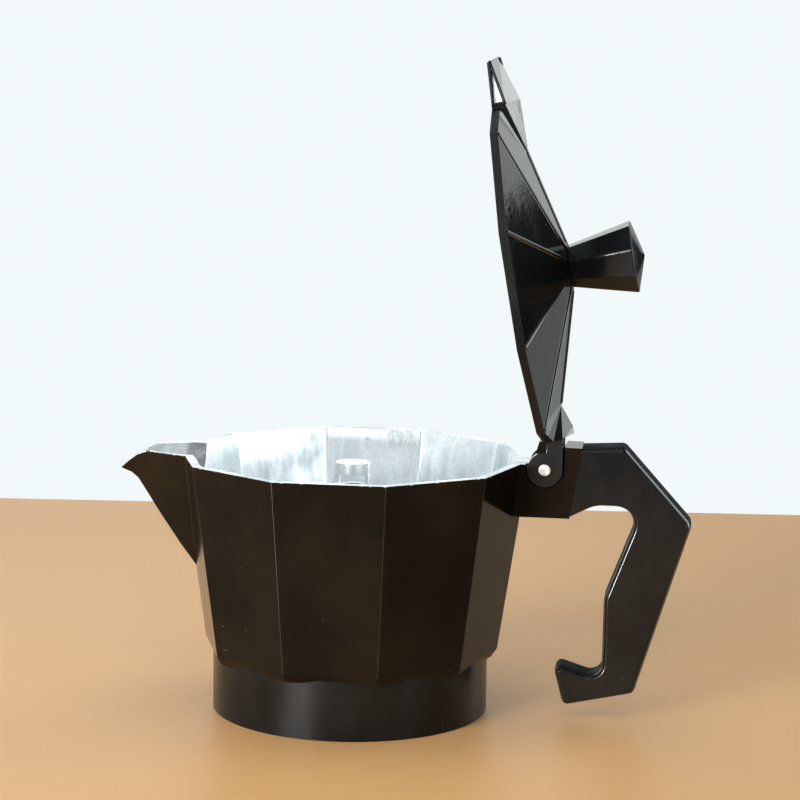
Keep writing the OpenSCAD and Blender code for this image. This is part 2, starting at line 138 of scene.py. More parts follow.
class Board:
    """A node tree, with the few kinds of wiring that the finishes below need."""

    def __init__(self, tree):
        self.tree = tree
        self.tree.nodes.clear()

    def add(self, kind, settings=None, sockets=None, output=0):
        node = self.tree.nodes.new("ShaderNode" + kind)
        for name, value in (settings or {}).items():
            setattr(node, name, value)
        for name, value in (sockets or {}).items():
            if isinstance(value, Wire):
                self.tree.links.new(value.socket, node.inputs[name])
            else:
                node.inputs[name].default_value = value
        return Wire(self, node.outputs[output]) if node.outputs else None

    def colours(self, share, low, high):
        """Mixes two colours, or two wires that carry colours."""
        return self.add("Mix", {"data_type": "RGBA"}, {0: share, 6: low, 7: high}, output=2)

    def part(self, place, axis):
        """One coordinate of a place, by its letter."""
        return self.add("SeparateXYZ", None, {"Vector": place}, output=axis)

    def stretched(self, place, scale):
        return self.add("Mapping", None, {"Vector": place, "Scale": scale})

    def noise(self, place, per_metre, detail=2.0, roughness=0.5):
        sockets = {"Vector": place, "Scale": per_metre}
        sockets.update({"Detail": detail, "Roughness": roughness})
        return self.add("TexNoise", None, sockets)

    def specks(self, place, per_metre, size):
        """1 inside scattered round specks, 0 between them; size is a share of their spacing."""
        sockets = {"Vector": place, "Scale": per_metre}
        distance = self.add("TexVoronoi", {"feature": "F1"}, sockets, output="Distance")
        return distance.ramp(size, size * 0.5)

    def bump(self, height, depth, strength=1.0, under=None):
        sockets = {"Height": height, "Distance": depth, "Strength": strength}
        if under is not None:
            sockets["Normal"] = under
        return self.add("Bump", None, sockets)


print("shader helpers ready")

# %% [markdown]
# ## One way to start every finish
#
# Each finish is a Principled shader. What is the same all over a surface is set on the
# shader's own socket; only what changes over it is wired. Patterns read Object coordinates, so
# they stay put on a piece when its body moves.

# %% Start a finish
def grey(value):
    return (value, value, value, 1.0)


def finish(name, paint, **constants):
    """Makes a material. paint(board, place) returns the wired sockets of its shader."""
    material = bpy.data.materials.new(name)
    material.use_nodes = True
    board = Board(material.node_tree)
    place = board.add("TexCoord", output="Object")
    sockets = {key.replace("_", " "): value for key, value in constants.items()}
    sockets.update(paint(board, place))
    shader = board.add("BsdfPrincipled", None, sockets)
    board.add("OutputMaterial", None, {"Surface": shader})
    print("finish", name, "with", len(material.node_tree.nodes), "nodes")
    return material


# %% [markdown]
# ## Black enamel
#
# The outside of the jug and the lid is sprayed with a black-brown enamel and baked. Up close
# it is not flat: it has the shallow waves that painters call orange peel, a few pinholes and
# grains of dust. It is chipped through to the metal in small places along the rim. On the lid,
# a broken pale arc round the hinge pin is a painted highlight along the round end of the ear.
# The waves are two sizes of noise in a Bump node, and the chips and the painted highlight are
# noise that counts only near the rim or the pin.

# %% Chips in the enamel, and the painted highlight round the pin
def rim_chips(board, place):
    """1 in the small chips close under the rim, away from the hinge."""
    height, reach = board.part(place, "Z"), board.part(place, "X")
    near_rim = height.ramp(rim_z - 0.8 * MM, rim_z)
    near_rim = near_rim * height.ramp(rim_z + 0.3 * MM, rim_z + 0.1 * MM)
    near_rim = near_rim * reach.ramp(rim_r - 1 * MM, rim_r - 3 * MM)
    flakes = board.noise(place, 700.0, detail=3.0, roughness=0.6)
    return (flakes + near_rim * 0.26).ramp(0.82, 0.86)


# Radii of the broken arc round the pin where a highlight is painted.
ARC_HIGHLIGHT_INNER = 4.95 * MM
ARC_HIGHLIGHT_OUTER = 5.6 * MM
ARC_HIGHLIGHT_FADE = 0.1 * MM


def pin_arc_highlight(board, place):
    """1 in the broken arc round the pin where a highlight is painted."""
    off = board.add("VectorMath", {"operation": "SUBTRACT"}, {0: place, 1: pin})
    flat = board.add("VectorMath", {"operation": "MULTIPLY"}, {0: off, 1: (1, 0, 1)})
    reach = board.add("VectorMath", {"operation": "LENGTH"}, {0: flat}, output="Value")
    ring = reach.ramp(ARC_HIGHLIGHT_INNER, ARC_HIGHLIGHT_INNER + ARC_HIGHLIGHT_FADE)
    ring = ring * reach.ramp(ARC_HIGHLIGHT_OUTER, ARC_HIGHLIGHT_OUTER - ARC_HIGHLIGHT_FADE)
    painted_highlight = board.noise(place, 500.0, detail=3.0)
    return ring * painted_highlight.ramp(0.40, 0.5) * board.part(off, "X").ramp(1.2 * MM, 0.4 * MM)


print("rubbed ring", round(ARC_HIGHLIGHT_INNER / MM, 2), "to", round(ARC_HIGHLIGHT_OUTER / MM, 2), "mm from the pin")

# %% Black enamel of the jug and the lid
def enamel(name, deep, warm, roughness, gloss, peel, grit=0.0, wear_and_highlight=None, shine=1.0):
    """wear_and_highlight masks chips and painted highlight; shine says how metallic these are."""
    def paint(board, place):
        patches = board.noise(place, 32.0, detail=3.0)
        colour = board.colours(patches.ramp(0.35, 0.7), deep, warm)
        smear = board.noise(board.stretched(place, (1.0, 1.0, 0.3)), 90.0, detail=4.0)
        rough = roughness * 0.8 + smear.ramp(0.3, 0.8) * roughness * 0.5
        dust = board.specks(place, 260.0, 0.055) * board.noise(place, 45.0).ramp(0.56, 0.62)
        # Pale grey mask: bare metal at the rim chips, a painted highlight in the arc round the
        # pin.
        bare_and_highlight = wear_and_highlight(board, place) if wear_and_highlight else 0.0
        colour = board.colours(dust * 0.35, colour, grey(0.25))
        colour = board.colours(bare_and_highlight, colour, grey(0.7))
        skin = board.bump(board.noise(place, 120.0, detail=1.0), peel * 3.0 * MM)
        skin = board.bump(board.noise(place, 620.0, detail=2.0), peel * MM, under=skin)
        if grit > 0:
            skin = board.bump(board.noise(place, 2200.0, detail=2.0), grit * MM, under=skin)
        skin = board.bump(dust, 0.03 * MM, under=skin)
        return {
            "Base Color": colour, "Roughness": rough + bare_and_highlight * 0.2,
            "Metallic": bare_and_highlight * shine, "Normal": skin,
        }

    return finish(name, paint, IOR=gloss)


jug_enamel = enamel(
    "jug_enamel", (0.0035, 0.0030, 0.0024, 1), (0.0085, 0.0055, 0.0032, 1),
    roughness=0.13, gloss=1.20, peel=0.010, wear_and_highlight=rim_chips,
)
# Slightly lighter than the jug's enamel: a painted highlight along the creases.
crease_highlight_enamel = enamel(
    "crease_highlight_enamel", (0.006, 0.005, 0.004, 1), (0.012, 0.009, 0.006, 1),
    roughness=0.36, gloss=1.55, peel=0.004,
)
# On the lid the pale mask is a painted highlight arc round the pin.
lid_enamel = enamel(
    "lid_enamel", (0.002, 0.002, 0.0022, 1), (0.004, 0.004, 0.004, 1),
    roughness=0.07, gloss=1.55, peel=0.012, wear_and_highlight=pin_arc_highlight, shine=0.4,
)
ring_enamel = enamel(
    "ring_enamel", (0.003, 0.0027, 0.0024, 1), (0.006, 0.0055, 0.005, 1),
    roughness=0.25, gloss=1.27, peel=0.006,
)
band_enamel = enamel(
    "band_enamel", (0.004, 0.004, 0.004, 1), (0.009, 0.0085, 0.008, 1),
    roughness=0.34, gloss=1.3, peel=0.03, grit=0.02,
)
bead_enamel = enamel(
    "bead_enamel", (0.003, 0.003, 0.003, 1), (0.005, 0.005, 0.005, 1),
    roughness=0.22, gloss=1.45, peel=0.01, grit=0.004,
)

# %% [markdown]
# ## Bare aluminium
#
# Inside, the casting is as it came from the die and was brushed once: bright, but mottled by
# the cool metal that ran down the mould, with dull patches and upright streaks. A metal's look
# is nearly all roughness, so the mottling goes there first, then a little into the colour. The
# same recipe serves every other bare metal, with its own colours and with streaks that run the
# way the piece was cast or turned. It also paints the two cheeks of the lid's cover a pale,
# half-metallic grey: a painted reflection of a bright window on the black enamel.

# %% Bare metals: cast, turned and plated
def corner_highlight_lines(board, place):
    """1 on the upright corners between the ten sides, where a highlight is painted, 0 between
    them.
    """
    across, along = board.part(place, "X"), board.part(place, "Y")
    turns = along.math("ARCTAN2", along, across) * (SIDES / math.tau) + (2 * SIDES + 0.5)
    from_corner = turns.math("FRACT", turns) - 0.5
    return from_corner.math("ABSOLUTE", from_corner).ramp(0.03, 0.018)


def bare_metal(name, dull, bright, rough, streak, depth, metallic=1.0, patch=60.0, corners=False):
    """rough is for bright and for dull places; streak is how the runs are squeezed each way."""
    def paint(board, place):
        clouds = board.noise(place, patch, detail=5.0, roughness=0.62)
        runs = board.noise(board.stretched(place, streak), 260.0, detail=4.0, roughness=0.6)
        grain = board.noise(place, 1500.0, detail=2.0)
        mottle = clouds * 0.6 + runs * 0.4
        colour = board.colours(mottle.ramp(0.36, 0.62), dull, bright)
        pits = board.specks(place, 420.0, 0.16) * board.noise(place, 70.0).ramp(0.5, 0.62)
        colour = board.colours(pits * 0.35, colour, grey(0.32))
        roughness = mottle.ramp(0.35, 0.65, rough[1], rough[0]) + grain * 0.06
        if corners:
            # The inside corners are painted near-white: a painted highlight.
            corner = corner_highlight_lines(board, place)
            colour = board.colours(corner * 0.8, colour, (0.97, 0.98, 0.98, 1))
            roughness = roughness * (1 - corner * 0.35)
        skin = board.bump(mottle, depth * 4.0 * MM)
        skin = board.bump(grain, depth * 0.5 * MM, under=skin)
        return {"Base Color": colour, "Roughness": roughness, "Normal": skin}

    return finish(name, paint, Metallic=metallic)


EVEN = (1.0, 1.0, 1.0)
cast_aluminium = bare_metal(
    "cast_aluminium", (0.60, 0.62, 0.63, 1), (0.86, 0.87, 0.87, 1),
    rough=(0.24, 0.48), streak=(1.0, 1.0, 0.12), depth=0.03,
)
# The jug's inside corners carry a painted highlight line.
jug_aluminium = bare_metal(
    "jug_aluminium", (0.56, 0.62, 0.65, 1), (0.88, 0.915, 0.93, 1),
    rough=(0.16, 0.4), streak=(1.0, 1.0, 0.22), depth=0.03, corners=True,
)
turned_aluminium = bare_metal(
    "turned_aluminium", (0.66, 0.67, 0.68, 1), (0.85, 0.86, 0.86, 1),
    rough=(0.2, 0.36), streak=(0.2, 0.2, 1.0), depth=0.012,
)
plated_steel = bare_metal(
    "plated_steel", (0.55, 0.55, 0.54, 1), (0.74, 0.74, 0.72, 1),
    rough=(0.16, 0.34), streak=EVEN, depth=0.008,
)
pin_steel = bare_metal(
    "pin_steel", (0.34, 0.34, 0.34, 1), (0.95, 0.95, 0.94, 1),
    rough=(0.3, 0.5), streak=EVEN, depth=0.05, patch=620.0,
)
turned_brass = bare_metal(
    "turned_brass", (0.55, 0.36, 0.12, 1), (0.80, 0.58, 0.26, 1),
    rough=(0.2, 0.38), streak=(0.3, 0.3, 1.0), depth=0.01,
)
# Pale grey painted on the cover's cheeks: a painted reflection of a bright window.
cheek_painted_reflection = bare_metal(
    "cheek_painted_reflection", (0.74, 0.76, 0.79, 1), (0.97, 0.98, 1.0, 1),
    rough=(0.42, 0.6), streak=EVEN, depth=0.05, metallic=0.45,
)

# %% [markdown]
# ## Bakelite and rubber
#
# The handle and the knob are pressed from bakelite powder. Polishing leaves them satin: the
# highlight along each soft edge is wide and dim, and lint shows on the black. The narrow faces
# of the handle are rubbed by the hand and hardly shine, so they get their own mix. The gasket
# is a pale rubber ring with a matt skin.

# %% Bakelite and gasket rubber
def bakelite(name, deep, warm, roughness, lint, gloss):
    def paint(board, place):
        clouds = board.noise(place, 40.0, detail=4.0)
        colour = board.colours(clouds.ramp(0.35, 0.65), deep, warm)
        wipe = board.noise(board.stretched(place, (1.0, 1.0, 0.35)), 140.0, detail=4.0)
        rough = roughness + wipe.ramp(0.3, 0.75) * 0.1 - 0.03
        motes = board.specks(place, 190.0, 0.045) * board.noise(place, 38.0).ramp(0.5, 0.56)
        colour = board.colours(motes * lint, colour, grey(0.22))
        rough = rough + motes * 0.2
        skin = board.bump(board.noise(place, 150.0, detail=1.0), 0.025 * MM)
        skin = board.bump(board.noise(place, 1300.0, detail=2.0), 0.004 * MM, under=skin)
        skin = board.bump(motes, 0.03 * MM, under=skin)
        return {"Base Color": colour, "Roughness": rough, "Normal": skin}

    return finish(name, paint, IOR=gloss)


def rubber(board, place):
    clouds = board.noise(place, 80.0, detail=4.0)
    share = clouds.ramp(0.3, 0.7)
    colour = board.colours(share, (0.60, 0.58, 0.52, 1), (0.72, 0.70, 0.64, 1))
    rough = clouds.ramp(0.3, 0.7, 0.62, 0.78)
    skin = board.bump(board.noise(place, 900.0, detail=3.0), 0.03 * MM)
    return {"Base Color": colour, "Roughness": rough, "Normal": skin}


handle_bakelite = bakelite(
    "handle_bakelite", (0.0045, 0.0042, 0.004, 1), (0.0075, 0.007, 0.0066, 1),
    roughness=0.17, lint=0.5, gloss=1.34,
)
handle_matt = bakelite(
    "handle_matt", (0.004, 0.0038, 0.0036, 1), (0.007, 0.0066, 0.0062, 1),
    roughness=0.5, lint=0.5, gloss=1.07,
)
knob_bakelite = bakelite(
    "knob_bakelite", (0.006, 0.007, 0.008, 1), (0.009, 0.0105, 0.0115, 1),
    roughness=0.13, lint=0.35, gloss=1.35,
)
gasket_rubber = finish("gasket_rubber", rubber, Sheen_Weight=0.15)

# %% [markdown]
# ## Rounded copies of the solids
#
# A casting has no knife edges: the die is rounded, and enamel pools on what is left. A solid
# from CAD has them all, and an edge without a radius never catches the light. So a copy of a
# solid is welded, flat triangles are joined back into whole faces, and then its sharp edges
# are bevelled. The weighted normals at the end keep the flat faces flat beside the bevels.

# %% Weld, round and hand over a piece
WELD = 2e-6
COPLANAR = math.radians(0.3)
SHARP = math.radians(24)
SHADE_BREAK = math.radians(40)


def welded(node):
    """A bmesh copy of a CAD node, with its loose triangles joined into whole faces."""
    bm = bmesh.new()
    bm.from_mesh(frame["nodes"][node].data)
    bmesh.ops.remove_doubles(bm, verts=bm.verts, dist=WELD)
    bmesh.ops.dissolve_limit(bm, angle_limit=COPLANAR, verts=bm.verts, edges=bm.edges)
    return bm


def middle(edge):
    return (edge.verts[0].co + edge.verts[1].co) / 2


def sharp_edges(bm, wanted=lambda edge: True, over=SHARP):
    """The edges that turn by more than an angle and are wanted."""
    return [e for e in bm.edges if e.is_manifold and e.calc_face_angle(0.0) > over and wanted(e)]


def round_edges(bm, edges, width, segments=3):
    bmesh.ops.bevel(
        bm, geom=edges, offset=width, offset_type="OFFSET", segments=segments, profile=0.5,
        affect="EDGES", clamp_overlap=True, material=-1,
    )


def hand_over(bm, name, body, finishes, nodes=(), even=True):
    """Turns a bmesh into a finished piece that rides on a body."""
    mesh = bpy.data.meshes.new(name)
    bm.to_mesh(mesh)
    bm.free()
    for material in finishes:
        mesh.materials.append(material)
    mesh.polygons.foreach_set("use_smooth", [True] * len(mesh.polygons))
    mesh.set_sharp_from_angle(angle=SHADE_BREAK)
    piece = bpy.data.objects.new(name, mesh)
    bpy.context.scene.collection.objects.link(piece)
    if even:
        evener = piece.modifiers.new("even_shading", "WEIGHTED_NORMAL")
        evener.keep_sharp = True
    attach(piece, body)
    if nodes:
        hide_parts(*nodes)
    print("piece", name, "has", len(mesh.polygons), "faces")


# %% [markdown]
# ## The jug
#
# Ten flat sides meet in upright creases, and each crease is a narrow rounded band that shows
# as one bright line. The rest of the casting has smaller radii. Which faces are enamelled
# follows from how the pot is made: the outside is sprayed standing on a mask, so the inside,
# the channel of the spout, the rim and everything under the floor stay bare.

# %% The jug's rounded casting
CREASE_WIDTH = 0.7 * MM
CREASE_LENGTH = 20 * MM
WALL_REACH = 40 * MM
EDGE_WIDTH = 0.35 * MM


def apothem(point):
    """Distance from the axis to the side of the decagon that a point is on or inside."""
    angles = [SIDE_TURN * (k + 0.5) for k in range(SIDES)]
    return max(point.x * math.cos(a) + point.y * math.sin(a) for a in angles)


def is_crease(edge):
    a, b = edge.verts[0].co, edge.verts[1].co
    upright = abs(a.z - b.z) > CREASE_LENGTH
    return upright and min(a.z, b.z) > RING_TOP and apothem(middle(edge)) > WALL_REACH


def is_outside_edge(edge):
    """Any edge but those of the threads and the seat under the floor."""
    mid = middle(edge)
    return math.hypot(mid.x, mid.y) > RING_R - 0.5 * MM or mid.z > RING_TOP + 2 * MM


jug_bm = welded("collector")
creases = sharp_edges(jug_bm, is_crease)
print("creases to round:", len(creases))
round_edges(jug_bm, creases, CREASE_WIDTH)
round_edges(jug_bm, sharp_edges(jug_bm, is_outside_edge), EDGE_WIDTH, 2)

# %% [markdown]
# ## Where the jug is enamelled
#
# Every face of the rounded casting is asked where it lies and which way it looks. The wall is
# tapered, so the line between inside and outside moves with the height. The ring and the
# rounded creases get their own enamels: the ring is duller, and a crease gets a slightly
# lighter colour, a painted highlight, in a rougher and glossier enamel that catches the lamp
# at the front left.

# %% Give each face of the jug its finish
FOOT_R = 45.7 * MM  # over the corners, where the wall meets the ring
FOOT_Z = 20 * MM
INTO_WALL = 1.3 * MM
BEAK_SHARE = 0.78
ENAMEL, BARE, RING, CREASE_HIGHLIGHT = 0, 1, 2, 3
taper = (rim_r - FOOT_R) / (rim_z - FOOT_Z)


def is_rounding(face):
    """One of the long thin faces that round an upright crease."""
    long_enough = max(edge.calc_length() for edge in face.edges) > 30 * MM
    below_rim = face.calc_center_median().z < rim_z - 8 * MM
    return long_enough and below_rim and face.calc_area() < 25 * MM * MM


def is_bare(face):
    """Inside the jug, in the channel of its beak, on its rim or under its floor."""
    mid, normal = face.calc_center_median(), face.normal
    depth = rim_z - mid.z
    outer_side = (rim_r - depth * taper) * TO_SIDE
    above_floor = mid.z > RING_TOP + 1 * MM
    in_cavity = above_floor and apothem(mid) < outer_side - INTO_WALL
    in_beak = above_floor and mid.x < -BEAK_SHARE * rim_r
    in_channel = in_beak and normal.y * mid.y < -1e-4 and normal.z > -0.3
    on_rim = depth < 0.06 * MM and normal.z > 0.8 and mid.x < rim_r
    below = mid.z < RING_TOP and math.hypot(mid.x, mid.y) < RING_R - 1 * MM
    return in_cavity or in_channel or on_rim or below


for face in jug_bm.faces:
    if is_bare(face):
        face.material_index = BARE
    elif face.calc_center_median().z < RING_TOP + 0.1 * MM:
        face.material_index = RING
    else:
        # Crease roundings take the lighter enamel of the painted highlight.
        face.material_index = CREASE_HIGHLIGHT if is_rounding(face) else ENAMEL
hand_over(
    jug_bm, "jug_casting", JUG,
    (jug_enamel, jug_aluminium, ring_enamel, crease_highlight_enamel), ["collector"],
)

# %% [markdown]
# ## The lid
#
# The lid is a shallow ten-sided pyramid, one sheet of cast metal. Its ridges meet at so small
# an angle that shading alone would melt the sides into a cone, so every edge of the solid is
# bevelled, the shallow ridges too, and the weighted normals then keep each side flat. The lid
# stands open, and its faces are easier to tell apart when it is shut, so `shut` turns a place
# about the pin to where it is then.

# %% The lid's rounded casting
LID_EDGE = 0.3 * MM
RIDGE = math.radians(4)
RIDGE_LENGTH = 12 * MM
BEAK_FROM = 53 * MM
lid_turn = math.radians(max(joint["range_deg"], key=abs))
shut = Matrix.Translation(pin) @ Matrix.Rotation(lid_turn, 4, "Y") @ Matrix.Translation(-pin)


def shut_normal(face):
    return shut.to_3x3() @ face.normal


def is_ridge(edge):
    """A long shallow edge between two sides of the pyramid."""
    if not edge.is_manifold or edge.calc_length() < RIDGE_LENGTH:
        return False
    on_side = all(0.95 < shut_normal(f).z < 0.995 for f in edge.link_faces)
    return on_side and RIDGE < edge.calc_face_angle(0.0) < SHARP


def is_cheek(face):
    """One of the two small sides of the cover, beside the tip of the spout."""
    mid, normal = shut @ face.calc_center_median(), shut_normal(face)
    beside_beak = mid.x < -BEAK_FROM and abs(normal.y) > 0.6 and normal.y * mid.y > 0
    return beside_beak and face.calc_area() > 8 * MM * MM


def ends(edge):
    return tuple(v.co.copy() for v in edge.verts)


lid_bm = welded("lid")
ridges = [ends(edge) for edge in lid_bm.edges if is_ridge(edge)]
cheeks = [face for face in lid_bm.faces if is_cheek(face)]
rims = [edge for face in cheeks for edge in face.edges if edge.calc_length() > 2 * MM]
cheek_rims = [ends(edge) for edge in rims]
beak_tip = max((v.co for v in lid_bm.verts), key=lambda co: co.z).copy()
print("ridges on the lid:", len(ridges), "cheeks:", len(cheeks), "rims:", len(cheek_rims))
round_edges(lid_bm, sharp_edges(lid_bm, over=RIDGE), LID_EDGE, 2)
# Around the rim the bevel leaves strips without width, and merging their two sides ends them.
bmesh.ops.remove_doubles(lid_bm, verts=lid_bm.verts, dist=WELD)
bmesh.ops.recalc_face_normals(lid_bm, faces=lid_bm.faces)

# %% Give each face of the lid its finish
LID_ENAMEL, LID_BARE, LID_BAND, LID_CHEEK_REFLECTION = 0, 1, 2, 3
BAND_HEIGHT = 3 * MM
EARS_FROM = 48 * MM
LID_GAP = 0.2 * MM
lid_foot = rim_z + LID_GAP
for face in lid_bm.faces:
    mid, normal = shut @ face.calc_center_median(), shut_normal(face)
    outward = Vector((mid.x, mid.y, 0)).normalized().dot(normal)
    if normal.z < -0.3 or (outward < -0.3 and mid.x < EARS_FROM):
        face.material_index = LID_BARE
    # The cover's cheeks get a painted reflection.
    elif is_cheek(face):
        face.material_index = LID_CHEEK_REFLECTION
    elif mid.z < lid_foot + BAND_HEIGHT and abs(normal.z) < 0.5:
        face.material_index = LID_BAND
    else:
        face.material_index = LID_ENAMEL
hand_over(
    lid_bm, "lid_casting", LID,
    (lid_enamel, cast_aluminium, band_enamel, cheek_painted_reflection), ["lid"],
)

# %% [markdown]
# ## Beads along the ridges
#
# On the casting a narrow bead runs along every ridge of the pyramid, where two halves of the
# mould met and the enamel gathered. It is a long cylinder sunk under the ridge until 0.4 mm
# stands proud, so it is one create_cone per ridge, turned onto its line. At the beak of the
# cover the same enamel hung down and set as drops, and these are small spheres.

# %% Beads and drops on the lid
BEAD_R = 0.85 * MM
BEAD_SINK = 0.45 * MM
BEAD_TRIM = 0.9 * MM
RIM_BEAD_R = 0.5 * MM
DROP_R = 0.85 * MM
LONG_DROP = (0.62 * MM, 0.8 * MM, 2.6 * MM)  # radius, and where it starts and ends past the beak
bead_bm = bmesh.new()
upward = shut.inverted().to_3x3() @ Vector((0, 0, 1))
along_beak = (shut.inverted().to_3x3() @ Vector((1, 0, 0.15))).normalized()


def lay_ball(bm, spot, radius, around=12, rings=8):
    bmesh.ops.create_uvsphere(
        bm, u_segments=around, v_segments=rings, radius=radius, matrix=Matrix.Translation(spot)
    )


def lay_bead(bm, start, end, radius, sink=Vector()):
    """A round bar from start to end, moved by sink."""
    along = end - start
    turn = along.to_track_quat("Z", "Y").to_matrix().to_4x4()
    place = Matrix.Translation((start + end) / 2 + sink) @ turn
    bmesh.ops.create_cone(
        bm, cap_ends=True, segments=12, radius1=radius, radius2=radius, depth=along.length,
        matrix=place,
    )
    for tip in (start, end):
        lay_ball(bm, tip + sink, radius)


def lifted(co, radius):
    """The same place, raised until a bead there stays off the jug when the lid is shut."""
    return co + upward * max(0.0, lid_foot + radius - (shut @ co).z)


for start, end in ridges:
    trim = (end - start).normalized() * BEAD_TRIM
    lay_bead(bead_bm, start + trim, end - trim, BEAD_R, upward * -BEAD_SINK)
for face_rim in cheek_rims:
    start, end = (lifted(co, RIM_BEAD_R) for co in face_rim)
    lay_bead(bead_bm, start, end, RIM_BEAD_R)
    lowest = min(face_rim, key=lambda co: (shut @ co).x)
    if (shut @ lowest).z < lid_foot + 0.5 * MM:
        lay_ball(bead_bm, lifted(lowest, DROP_R), DROP_R, 16, 10)
drop_r, drop_from, drop_to = LONG_DROP
long_drop = [lifted(beak_tip + along_beak * reach, drop_r) for reach in (drop_from, drop_to)]
lay_bead(bead_bm, *long_drop, drop_r)
hand_over(bead_bm, "lid_beads", LID, (bead_enamel,), even=False)

# %% [markdown]
# ## The knob
#
# The knob is an eight-sided bakelite moulding that widens to a low point. Only its edges are
# softened, a little more than those of the castings.

# %% The knob
KNOB_EDGE = 0.5 * MM
knob_bm = welded("knob")
round_edges(knob_bm, sharp_edges(knob_bm), KNOB_EDGE)
hand_over(knob_bm, "knob_moulding", LID, (knob_bakelite,), ["knob"])

# %% [markdown]
# ## The handle
#
# The handle is a flat moulding with straight flanks, a sharp elbow and a hooked foot. Its narrow
# faces are crowned, so that the mould lets it go: nearly flat in the middle, and tight where
# they meet the flanks. It is drawn as the corners of its outline, measured from the hinge pin.
# The sheet is extruded to a fraction of its thickness, each upright corner is bevelled to its
# own radius, both outlines are bevelled round, and then the plate is stretched to its full
# thickness, which turns the round edges into the long ellipses of the crown.

# %% The handle's outline and its soft edges
SOFT = 1.9 * MM
SOFT_STEPS = 12
CROWN = 2.6
half_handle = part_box("handle")[1].y
HANDLE = [  # from the pin: along X, up Z, corner radius; in millimetres, from the seam round
    (7.8, -14.8, 0.0), (11.1, 6.9, 0.0), (23.9, 7.6, 2.4), (44.9, -15.6, 3.0),
    (28.7, -68.8, 2.1), (7.1, -73.6, 2.1), (3.6, -60.1, 2.1), (18.8, -64.9, 4.2),
    (18.8, -39.4, 9.0), (29.4, -10.9, 5.6), (15.4, -10.9, 8.0),
]
DEGREES_A_STEP = 9


def drawn_plate(corners, centre, half):
    """A flat plate whose outline has these corners, with each corner rounded by its radius."""
    bm = bmesh.new()
    points = [bm.verts.new(centre + Vector((x * MM, -half, z * MM))) for x, z, _ in corners]
    sheet = bm.faces.new(points)
    grown = bmesh.ops.extrude_face_region(bm, geom=[sheet])["geom"]
    far_side = [v for v in grown if isinstance(v, bmesh.types.BMVert)]
    bmesh.ops.translate(bm, verts=far_side, vec=(0, 2 * half, 0))
    bmesh.ops.recalc_face_normals(bm, faces=bm.faces)
    for k, (x, z, radius) in enumerate(corners):
        if radius == 0:
            continue
        spot = centre + Vector((x * MM, 0, z * MM))
        upright = [e for e in bm.edges if (middle(e) - spot).length < 0.01 * MM]
        before, after = corners[k - 1], corners[(k + 1) % len(corners)]
        inward = Vector((x - before[0], z - before[1]))
        onward = Vector((after[0] - x, after[1] - z))
        turn = inward.angle(onward)
        steps = max(3, round(math.degrees(turn) / DEGREES_A_STEP))
        round_edges(bm, upright, radius * MM * math.tan(turn / 2), steps)
    return bm


handle_bm = drawn_plate(HANDLE, pin, half_handle / CROWN)
seam_normal = Vector((-1, 0, 0.15)).normalized()


def is_seam(face):
    """The end face that is pressed against the casting."""
    return face.normal.dot(seam_normal) > 0.98 and face.calc_area() > 100 * MM * MM


def on_long_outline(edge):
    flats = [f for f in edge.link_faces if abs(f.normal.y) > 0.99]
    return len(flats) == 1 and not any(is_seam(f) for f in edge.link_faces)


round_edges(handle_bm, [e for e in handle_bm.edges if on_long_outline(e)], SOFT, SOFT_STEPS)
bmesh.ops.scale(handle_bm, vec=(1, CROWN, 1), verts=handle_bm.verts)
bmesh.ops.recalc_face_normals(handle_bm, faces=handle_bm.faces)
print("handle half thickness", round(half_handle / MM, 2), "mm,", len(handle_bm.faces), "faces")

# %% [markdown]
# ## The hole for the screw
#
# The handle hangs from an arm of the casting by one screw, put in from below, inside the loop.
# Its head lies in a round hole. A cylinder taken away with the Boolean modifier makes the hole
# clean through the crowned face, and the result is read back at once, so nothing live is left.

# %% Sink the screw hole and hand over the handle
HOLE_R = 4.7 * MM
HOLE_AT = 17.4 * MM  # beyond the pin
HOLE_TOP = 8.4 * MM  # below the rim
HOLE_DEEP = 9.0 * MM
MATT_SHARE = 0.7


def loose_object(bm, name):
    mesh = bpy.data.meshes.new(name)
    bm.to_mesh(mesh)
    bm.free()
    made = bpy.data.objects.new(name, mesh)
    bpy.context.scene.collection.objects.link(made)
    return made


def without(block_bm, cutter_bm):
    """The first solid with the second one taken away."""
    block, cutter = loose_object(block_bm, "block"), loose_object(cutter_bm, "cutter")
    taking = block.modifiers.new("take_away", "BOOLEAN")
    taking.operation, taking.solver, taking.object = "DIFFERENCE", "EXACT", cutter
    left = bmesh.new()
    left.from_object(block, bpy.context.evaluated_depsgraph_get())
    for used in (block, cutter):
        mesh = used.data
        bpy.data.objects.remove(used, do_unlink=True)
        bpy.data.meshes.remove(mesh)
    return left


hole_bm = bmesh.new()
hole_middle = Vector((pin.x + HOLE_AT, 0, rim_z - HOLE_TOP - HOLE_DEEP / 2))
bmesh.ops.create_cone(
    hole_bm, cap_ends=True, segments=48, radius1=HOLE_R, radius2=HOLE_R, depth=HOLE_DEEP,
    matrix=Matrix.Translation(hole_middle),
)
whole = len(handle_bm.faces)
handle_bm = without(handle_bm, hole_bm)
print("handle faces before and after the hole:", whole, len(handle_bm.faces))
for face in handle_bm.faces:
    narrow = abs(face.calc_center_median().y) < MATT_SHARE * half_handle
    face.material_index = 1 if narrow and abs(face.normal.y) < 0.8 else 0
hand_over(
    handle_bm, "handle_moulding", JUG,
    (handle_bakelite, handle_matt), ["handle"],
)

# %% [markdown]
# ## The smaller parts
#
# The column, its cap, the filter plate, the gasket, the pin and the screws are turned, stamped
# or moulded to sizes that the solids already hold. Those that show an edge get a small radius,
# and the others keep their solid and only change their finish.

